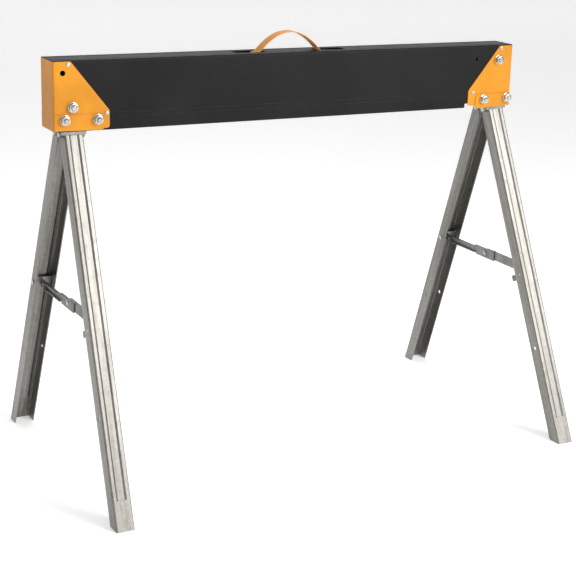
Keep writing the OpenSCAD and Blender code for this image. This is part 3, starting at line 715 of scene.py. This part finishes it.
@dataclass
class Bolting:
    """One set of bolts with its nuts and washers."""

    bolts: str
    nuts: str
    washers: str
    kind: Kind
    shank: float
    pitch: float
    flat: float = 8.3 * MM
    head: float = 6.0 * MM
    disc: float = 8.0 * MM
    disc_thick: float = 1.8 * MM
    thread: float = 13.0 * MM
    chamfer: float = 0.8 * MM
    shop: Workshop = field(default_factory=Workshop)

    def threads(self, low: float, high: float, rows: int = 8) -> list[Ring]:
        """Rings of a helical thread.

        Args:
            low: where the thread starts.
            high: where it ends.
            rows: rings to each turn.

        Returns:
            The rings, from low to high.
        """
        depth = 0.6 * self.pitch

        def outline(z: float) -> Callable[[float], float]:
            """Outline of the thread at one height."""
            fade = min(1.0, (z - low) / (0.6 * self.pitch), (high - z) / (0.6 * self.pitch))

            def radius(angle: float) -> float:
                """Radius of the thread at one angle."""
                turn = (z / self.pitch - angle / math.tau) % 1.0
                return self.shank - depth * abs(2 * turn - 1) * max(0.0, fade)
            return radius

        steps = max(2, round((high - low) / self.pitch * rows))
        return [(low + (high - low) * i / steps, outline(low + (high - low) * i / steps))
                for i in range(steps + 1)]

    def hex_rings(self, low: float, high: float) -> list[Ring]:
        """Rings of a hexagon with its corners turned down at both ends.

        Args:
            low: lower face.
            high: upper face.

        Returns:
            The rings.
        """
        corner = self.flat / math.cos(math.pi / 6)
        circle = self.flat * 0.97
        cut = (corner - circle) * math.tan(math.radians(30))
        steps = 5
        rings = [(low, around(circle))]
        for i in range(1, steps + 1):
            reach = circle + (corner - circle) * i / steps
            rings.append((low + cut * i / steps, hexagon(self.flat, reach)))
        return rings + [(high - (z - low), r) for z, r in reversed(rings)]

    def build(self, steel: bpy.types.Material) -> None:
        """Make the bolts, nuts and washers.

        Args:
            steel: their finish.
        """
        self._bolts(steel)
        self._nuts(steel)
        self._washers(steel)
        log.info("%s, %s and %s", self.bolts, self.nuts, self.washers)

    def _bolts(self, steel: bpy.types.Material) -> None:
        """Make the bolts from tail tip to head."""
        meshes = []
        for i, points in enumerate(self.shop.solids(self.bolts)):
            outward = Vector((0, 1, 0))
            if self.kind is Kind.CARRIAGE and sum(p.y for p in points) > 0:
                outward = Vector((0, -1, 0))
            place = self.shop.spindle(points, outward)
            end = place.length
            tip = [(0.0, around(self.shank * 0.72)), (0.9 * MM, around(self.shank * 0.93))]
            body = tip + self.threads(1.0 * MM, self.thread)
            if self.kind is Kind.THROUGH:
                neck = end - self.head
                head = [(neck, around(self.shank))] + self.hex_rings(neck + 0.01 * MM, end)
                head += [(end, around(self.flat * 0.5))]
            else:
                neck = end - self.disc_thick
                head = [(neck, around(self.shank)), (neck, around(self.disc * 0.96)),
                        (neck + 0.3 * MM, around(self.disc)),
                        (end - 0.6 * MM, around(self.disc * 0.985)),
                        (end - 0.15 * MM, around(self.disc * 0.86)),
                        (end, around(self.disc * 0.6))]
            meshes.append(self.shop.ring_mesh(f"{self.bolts}_{i}", [body + head],
                                              place.matrix()))
        self._join(meshes, self.bolts, steel)

    def _nuts(self, steel: bpy.types.Material) -> None:
        """Make the nuts, each with a countersunk bore."""
        meshes = []
        for i, points in enumerate(self.shop.solids(self.nuts)):
            place = self.shop.spindle(points, Vector((0, 1, 0)))
            high = place.length
            bore = self.shank + 0.02 * MM
            mouth = self.shank + 0.9 * MM
            shell = self.hex_rings(0.0, high)
            inside = [(high, around(mouth)), (high - self.chamfer, around(bore)),
                      (self.chamfer, around(bore)), (0.0, around(mouth))]
            meshes.append(self.shop.ring_mesh(f"{self.nuts}_{i}",
                                              [shell + inside + [shell[0]]], place.matrix()))
        self._join(meshes, self.nuts, steel)

    def _washers(self, steel: bpy.types.Material) -> None:
        """Make the washers with the rounded edge of a blanked disc."""
        meshes = []
        for i, points in enumerate(self.shop.solids(self.washers)):
            place = self.shop.spindle(points, Vector((0, 1, 0)))
            rim, thick = place.radius, place.length
            hole = self.shank + 0.05 * MM
            rings = [(0.0, around(hole + 0.15 * MM)), (0.0, around(rim - 0.3 * MM)),
                     (0.12 * MM, around(rim - 0.05 * MM)), (0.4 * MM, around(rim)),
                     (thick - 0.4 * MM, around(rim)),
                     (thick - 0.12 * MM, around(rim - 0.08 * MM)),
                     (thick, around(rim - 0.35 * MM)), (thick, around(hole + 0.15 * MM)),
                     (thick - 0.2 * MM, around(hole)), (0.2 * MM, around(hole)),
                     (0.0, around(hole + 0.15 * MM))]
            meshes.append(self.shop.ring_mesh(f"{self.washers}_{i}", [rings],
                                              place.matrix()))
        self._join(meshes, self.washers, steel)

    def _join(self, meshes: list[bpy.types.Object], node: str,
              steel: bpy.types.Material) -> None:
        """Join the copies of one fastener into one piece.

        Args:
            meshes: the copies.
            node: the node they stand for.
            steel: their finish.
        """
        whole = bmesh.new()
        for piece in meshes:
            whole.from_mesh(piece.data)
            bpy.data.objects.remove(piece)
        joined = self.shop.object_from(whole, f"{node}_turned")
        self.shop.fit(joined, steel, "fastener_steel", [node])


@dataclass
class Rivets:
    """Rivets or headed pins of one node, drawn with domed heads."""

    node: str
    axis: Vector
    shank: float
    head_thick: float
    head_low: bool
    head_high: bool
    shop: Workshop = field(default_factory=Workshop)

    def dome(self, base: float, way: float, radius: float) -> list[Ring]:
        """Rings of a domed head, from its rim to its crown.

        Args:
            base: height of the face it sits on.
            way: 1 for a head that rises, -1 for one that drops.
            radius: the head's radius.

        Returns:
            The rings.
        """
        steps = 7
        rings = [(base, around(radius * 0.97)), (base + way * 0.12 * self.head_thick,
                                                 around(radius))]
        for i in range(1, steps + 1):
            a = math.pi / 2 * i / steps
            z = base + way * self.head_thick * (0.3 + 0.7 * math.sin(a))
            rings.append((z, around(max(radius * math.cos(a), radius * 0.12))))
        return rings

    def build(self, steel: bpy.types.Material) -> None:
        """Make the node's rivets.

        Args:
            steel: their finish.
        """
        whole = bmesh.new()
        for points in self.shop.solids(self.node):
            outward = self.axis
            if self.node == "bracket_rivets" and sum(p.y for p in points) < 0:
                outward = -self.axis
            place = self.shop.spindle(points, outward)
            low, high = 0.0, place.length
            rings: list[Ring] = [(low, around(self.shank))]
            if self.head_low:
                low = self.head_thick
                rings = list(reversed(self.dome(low, -1.0, place.radius)))
                rings.append((low, around(self.shank)))
            if self.head_high:
                high = place.length - self.head_thick
                rings.append((high, around(self.shank)))
                rings += self.dome(high, 1.0, place.radius)
            else:
                rings.append((high, around(self.shank)))
            piece = self.shop.ring_mesh("rivet", [rings], place.matrix(), 32)
            whole.from_mesh(piece.data)
            bpy.data.objects.remove(piece)
        joined = self.shop.object_from(whole, f"{self.node}_domed")
        self.shop.fit(joined, steel, "fastener_steel", [self.node])
        log.info("%s", self.node)


# ---------- carry strap ----------


@dataclass
class CarryStrap:
    """The webbing handle: an arch through two slots, looped round a bar at each end."""

    thick: float = 1.9 * MM
    bar: float = 2.0 * MM
    slack: float = 0.25 * MM
    loop_turns: float = 0.86
    stitch: float = 2.4 * MM
    stitch_gap: float = 1.1 * MM
    stitch_radius: float = 0.38 * MM
    shop: Workshop = field(default_factory=Workshop)

    def path(self) -> list[tuple[float, float]]:
        """Middle line of the webbing in the XZ plane, from end to end.

        Returns:
            Points as X and Z, in metres.
        """
        low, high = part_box("carry_strap")
        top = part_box("beam_shell")[1].z
        bars = [Workshop.spindle(s, Vector((0, 1, 0))).foot
                for s in Workshop.solids("strap_bars")]
        middle = (bars[0].x + bars[1].x) / 2
        rise = high.z - self.thick / 2 - top - 0.1 * MM
        wrap = self.bar + self.slack + self.thick / 2
        half = (bars[1].x - bars[0].x) / 2 / 1.1
        steps = 40
        arch = [(half * i / steps, rise * (1 - (i / steps) ** 2)) for i in range(steps + 1)]
        drop = math.atan2(2 * rise, half)
        centre = (bars[1].x - middle, bars[1].z - top)
        start = math.pi / 2 - drop
        turn = math.tau * self.loop_turns
        loop = [(centre[0] + wrap * math.cos(start - turn * i / 26),
                 centre[1] + wrap * math.sin(start - turn * i / 26)) for i in range(27)]
        first = [p for p in arch if p[0] < loop[0][0] - 2.5 * MM or p[1] > 2.5 * MM]
        side = first + loop
        right = [(middle + x, top + z) for x, z in side]
        left = [(middle - x, top + z) for x, z in reversed(side[1:])]
        return left + right

    def section(self, width: float) -> list[tuple[float, float]]:
        """Cross-section of the webbing: flat, with thick rounded selvedges.

        Args:
            width: the webbing's width.

        Returns:
            Points across and through, round the outline.
        """
        half, t = width / 2, self.thick / 2
        steps = 14
        across = [-half + 0.8 * MM + (width - 1.6 * MM) * i / steps for i in range(steps + 1)]
        top = [(y, t * (0.93 + 0.07 * min(1.0, abs(y) / half * 1.4) ** 4)) for y in across]
        rim = [(half - 0.35 * MM, t * 0.72), (half, 0.0), (half - 0.35 * MM, -t * 0.72)]
        bottom = [(y, -z) for y, z in reversed(top)]
        other = [(-y, -z) for y, z in rim]
        return top + rim + bottom + other

    def build(self, webbing: bpy.types.Material, thread: bpy.types.Material) -> None:
        """Make the webbing and its stitching.

        Args:
            webbing: finish of the strap.
            thread: finish of the stitches.
        """
        low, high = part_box("carry_strap")
        width = high.y - low.y - 0.4 * MM
        path = self.path()
        outline = self.section(width)
        mesh = bmesh.new()
        cloth = mesh.loops.layers.uv.new("cloth")
        rows, marks, run = [], [], 0.0
        for i, (x, z) in enumerate(path):
            before, after = path[max(0, i - 1)], path[min(len(path) - 1, i + 1)]
            dx, dz = after[0] - before[0], after[1] - before[1]
            size = math.hypot(dx, dz)
            nx, nz = -dz / size, dx / size
            if i:
                run += math.hypot(x - path[i - 1][0], z - path[i - 1][1])
            rows.append([mesh.verts.new((x + nx * h, y, z + nz * h)) for y, h in outline])
            marks.append((run, x, z, nx, nz))
        count = len(outline)
        for (low_row, low_mark), (high_row, high_mark) in zip(
                zip(rows, marks), zip(rows[1:], marks[1:])):
            for i in range(count):
                j = (i + 1) % count
                face = mesh.faces.new((low_row[i], low_row[j], high_row[j], high_row[i]))
                places = ((low_mark[0], outline[i][0]), (low_mark[0], outline[j][0]),
                          (high_mark[0], outline[j][0]), (high_mark[0], outline[i][0]))
                for loop, where in zip(face.loops, places):
                    loop[cloth].uv = where
        mesh.faces.new(rows[0])
        mesh.faces.new(list(reversed(rows[-1])))
        bmesh.ops.recalc_face_normals(mesh, faces=mesh.faces)
        strap = self.shop.object_from(mesh, "carry_strap_webbing", smooth=60.0)
        self.shop.fit(strap, webbing, "webbing", ["carry_strap"])
        stitches = self.stitches(marks, width, thread)
        log.info("carry strap, %.0f mm of webbing", run / MM)

    def stitches(self, marks: Sequence[tuple[float, ...]], width: float,
                 thread: bpy.types.Material) -> bpy.types.Object:
        """Sew rows of stitches across the webbing above each foot.

        Args:
            marks: along the path: run, X, Z and the outward normal.
            width: the webbing's width.
            thread: finish of the stitches.

        Returns:
            The stitches.
        """
        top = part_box("beam_shell")[1].z
        mesh = bmesh.new()
        apex = max(range(len(marks)), key=lambda i: marks[i][2])
        rng = random.Random(7)
        for way in (-1, 1):
            for height in (5.0 * MM, 8.0 * MM):
                i = apex
                while marks[i][2] > top + height:
                    i += way
                _, x, z, nx, nz = marks[i]
                y = -width / 2 + 2.2 * MM
                while y + self.stitch < width / 2 - 2.0 * MM:
                    self._stitch(mesh, (x, y, z), (nx, nz), rng.uniform(-0.1, 0.1) * MM)
                    y += self.stitch + self.stitch_gap
        made = self.shop.object_from(mesh, "strap_stitching", smooth=80.0)
        made.data.materials.append(thread)
        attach(made, self.shop.body_of["carry_strap"])
        return made

    def _stitch(self, mesh: bmesh.types.BMesh, at: tuple[float, float, float],
                normal: tuple[float, float], wander: float) -> None:
        """Add one stitch: a short bowed thread that dips in at both ends.

        Args:
            mesh: where it is added.
            at: its start on the middle line.
            normal: the webbing's outward normal, as X and Z.
            wander: how far it strays along the webbing.
        """
        steps, sides = 8, 8
        nx, nz = normal
        rows = []
        for i in range(steps + 1):
            s = i / steps
            lift = self.thick / 2 + self.stitch_radius * (1.1 * math.sin(math.pi * s) - 0.55)
            y = at[1] + self.stitch * s
            row = []
            for k in range(sides):
                a = math.tau * k / sides
                r = self.stitch_radius * (0.55 + 0.45 * math.sin(math.pi * s))
                h = lift + r * math.cos(a)
                t = wander + r * math.sin(a)
                row.append(mesh.verts.new((at[0] + nx * h + nz * t, y, at[2] + nz * h - nx * t)))
            rows.append(row)
        for low, high in zip(rows, rows[1:]):
            for k in range(sides):
                j = (k + 1) % sides
                mesh.faces.new((low[k], low[j], high[j], high[k]))
        mesh.faces.new(list(reversed(rows[0])))
        mesh.faces.new(rows[-1])


# ---------- sub-assemblies kept from the frame ----------


@dataclass
class Beam:
    """The painted channel with its brackets and saddle plates."""

    black: PowderCoat = PowderCoat("black_powder_coat", (0.005, 0.005, 0.0054),
                                   (0.13, 0.13, 0.12), 0.42, 0.10, 0.004, 0.0, 0.16)
    yellow: PowderCoat = PowderCoat("yellow_powder_coat", (0.64, 0.245, 0.002),
                                    (0.36, 0.34, 0.30), 0.42, 0.22, 0.02, 0.08, 0.3)

    def dress(self, shop: Workshop) -> None:
        """Paint the beam, the brackets and the plates.

        Args:
            shop: where nodes are dressed.
        """
        shop.paint(["beam_shell"], self.black.build())
        plates = [f"saddle_plate_{end}_{side}" for end in ENDS for side in SIDES]
        shop.paint(plates + [f"end_bracket_{end}" for end in ENDS], self.yellow.build())
        log.info("beam, brackets and saddle plates")


@dataclass
class LegSet:
    """The legs, hanger and brace of one end."""

    end: str
    web: Colour = (0.37, 0.36, 0.345)
    film: Colour = (0.135, 0.129, 0.112)

    def dress(self, shop: Workshop, plate: bpy.types.Material,
              dull: bpy.types.Material) -> None:
        """Give each leg its own drawn finish, and the rest zinc plate.

        Args:
            shop: where nodes are dressed.
            plate: finish of the hanger and washers.
            dull: finish of the brace.
        """
        axis = Vector(shop.joints[f"{self.end}_legs_close"]["axis"])
        lean = math.atan2(axis.z, axis.x)
        for side in SIDES:
            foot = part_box(f"leg_{self.end}_{side}")
            reach = max(abs(foot[0].y), abs(foot[1].y))
            splay = math.atan2(reach, foot[1].z) * (1 if side == "rear" else -1)
            steel = Galvanised(f"galvanised_{self.end}_{side}", self.web, self.film, 0.36,
                               splay, lean)
            shop.paint([f"leg_{self.end}_{side}"], steel.build())
            shop.paint([f"brace_link_{self.end}_{side}", f"brace_clip_{self.end}_{side}"], dull)
        shop.paint([f"leg_hanger_{self.end}", f"hinge_washers_{self.end}",
                    f"pivot_sleeve_{self.end}"], plate)
        log.info("legs, hanger and brace of the %s end", self.end)

    def rivets(self, shop: Workshop, steel: bpy.types.Material) -> None:
        """Make the pins and rivets that turn with this end.

        Args:
            shop: where pieces are fitted.
            steel: their finish.
        """
        axis = Vector(shop.joints[f"{self.end}_legs_close"]["axis"]).normalized()
        pins = [
            (f"hinge_pins_{self.end}", 4.0, True, True),
            (f"clip_rivets_{self.end}_front", 2.5, False, True),
            (f"brace_pin_{self.end}_front", 3.0, False, True),
            (f"brace_pin_{self.end}_rear", 3.0, True, False),
            (f"lap_rivet_{self.end}", 3.0, True, False),
            (f"lap_cap_{self.end}", 3.0, False, True),
        ]
        for node, shank, low, high in pins:
            Rivets(node, axis, shank * MM, 2.0 * MM, low, high, shop).build(steel)


# ---------- studio ----------


@dataclass
class Studio:
    """Floor, lights and camera."""

    lens: float = 91.1
    shift: tuple[float, float] = (-0.0729, 0.0122)
    stand: tuple[float, float, float] = (-1.4021, -2.6117, 1.2166)
    yaw: float = 29.994
    pitch: float = -16.923
    roll: float = 2.223

    def floor(self) -> None:
        """Lay a wide pale floor that curves up far off on both sides."""
        mesh = bmesh.new()
        bend = [(7.0 + 3.0 * math.sin(a), 3.0 * (1 - math.cos(a)))
                for a in (math.pi / 2 * i / 12 for i in range(1, 13))]
        half = [(7.0, 0.0)] + bend + [(10.0, 9.0)]
        run = [(-y, z) for y, z in reversed(half)] + half
        rows = [[mesh.verts.new((x, y, z)) for x in (-16.0, 16.0)] for y, z in run]
        for low, high in zip(rows, rows[1:]):
            mesh.faces.new((low[0], low[1], high[1], high[0]))
        floor = Workshop.object_from(mesh, "studio_floor")
        floor.data.materials.append(StudioFloor("studio_paper", (0.93, 0.93, 0.93)).build())

    def light(self, name: str, at: Sequence[float], size: float, power: float,
              target: Sequence[float], tint: Colour = (1.0, 1.0, 1.0)) -> None:
        """Hang one soft light.

        Args:
            name: the light's name.
            at: its place, in metres.
            size: width and height.
            power: watts.
            target: point it faces.
            tint: its colour.
        """
        data = bpy.data.lights.new(name, "AREA")
        data.shape = "SQUARE"
        data.size = size
        data.energy = power
        data.color = tint
        lamp = bpy.data.objects.new(name, data)
        lamp.location = at
        way = Vector(target) - Vector(at)
        lamp.rotation_euler = way.to_track_quat("-Z", "Y").to_euler()
        bpy.context.scene.collection.objects.link(lamp)

    def lights(self) -> None:
        """Set the soft studio light: front right key, top panel and a pale surround."""
        world = bpy.data.worlds.new("studio_surround")
        bpy.context.scene.world = world
        world.use_nodes = True
        sky = world.node_tree.nodes["Background"]
        sky.inputs[0].default_value = (1.0, 1.0, 1.0, 1.0)
        sky.inputs[1].default_value = 0.30
        self.light("key", (1.6, -3.1, 2.0), 1.7, 100.0, (0.0, 0.0, 0.55), (1.0, 0.985, 0.96))
        self.light("top", (0.2, 0.6, 3.2), 2.6, 34.0, (0.0, 0.0, 0.8))
        bpy.context.scene.view_settings.view_transform = "Standard"
        log.info("floor and lights")

    def camera(self) -> None:
        """Set the camera at its measured place and turn."""
        low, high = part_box("beam_shell")
        yaw, pitch, roll = (math.radians(v) for v in (self.yaw, self.pitch, self.roll))
        ahead = Vector((math.sin(yaw) * math.cos(pitch), math.cos(yaw) * math.cos(pitch),
                        math.sin(pitch)))
        right = Vector((math.cos(yaw), -math.sin(yaw), 0.0))
        up = right.cross(ahead)
        turned = right * math.cos(roll) + up * math.sin(roll)
        upright = up * math.cos(roll) - right * math.sin(roll)
        data = bpy.data.cameras.new("camera")
        data.lens = self.lens
        data.sensor_width = 36.0
        data.shift_x, data.shift_y = self.shift
        camera = bpy.data.objects.new("camera", data)
        bpy.context.scene.collection.objects.link(camera)
        turn = Matrix((turned, upright, -ahead)).transposed().to_4x4()
        middle = Vector(((low.x + high.x) / 2, 0.0, 0.0))
        camera.matrix_world = Matrix.Translation(middle + Vector(self.stand)) @ turn
        bpy.context.scene.camera = camera


def main() -> None:
    """Build every piece in order."""
    logging.basicConfig(level=logging.INFO, format="%(name)s: %(message)s")
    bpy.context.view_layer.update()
    shop = Workshop()
    Beam().dress(shop)
    plate = ZincPlate("zinc_plate_hanger", (0.34, 0.34, 0.31), (0.21, 0.21, 0.19), 0.42).build()
    dull = ZincPlate("zinc_plate_brace", (0.30, 0.30, 0.29), (0.17, 0.17, 0.16), 0.46).build()
    bright = ZincPlate("bright_fastener", (0.62, 0.60, 0.56), (0.40, 0.38, 0.34), 0.24,
                       900.0).build()
    Bolting("pivot_bolts", "pivot_nuts", "pivot_washers", Kind.THROUGH, 5.0 * MM, 1.5 * MM,
            shop=shop).build(bright)
    Bolting("stop_bolts", "stop_nuts", "stop_washers", Kind.THROUGH, 4.0 * MM, 1.25 * MM,
            shop=shop).build(bright)
    Bolting("saddle_bolts", "saddle_nuts", "saddle_washers", Kind.CARRIAGE, 4.0 * MM,
            1.25 * MM, shop=shop).build(bright)
    Rivets("bracket_rivets", Vector((0, 1, 0)), 2.2 * MM, 2.0 * MM, False, True,
           shop).build(bright)
    shop.paint(["pivot_spacers", "strap_bars"], plate)
    for end in ENDS:
        legs = LegSet(end)
        legs.dress(shop, plate, dull)
        legs.rivets(shop, bright)
        shop.paint([f"clip_rivets_{end}_rear"], bright)
    webbing = Webbing("strap_webbing", (0.95, 0.40, 0.02), (0.48, 0.15, 0.006)).build()
    thread = SewingThread("strap_thread", (0.80, 0.52, 0.16)).build()
    CarryStrap(shop=shop).build(webbing, thread)
    studio = Studio()
    studio.floor()
    studio.lights()
    studio.camera()


if __name__ == "__main__":
    main()
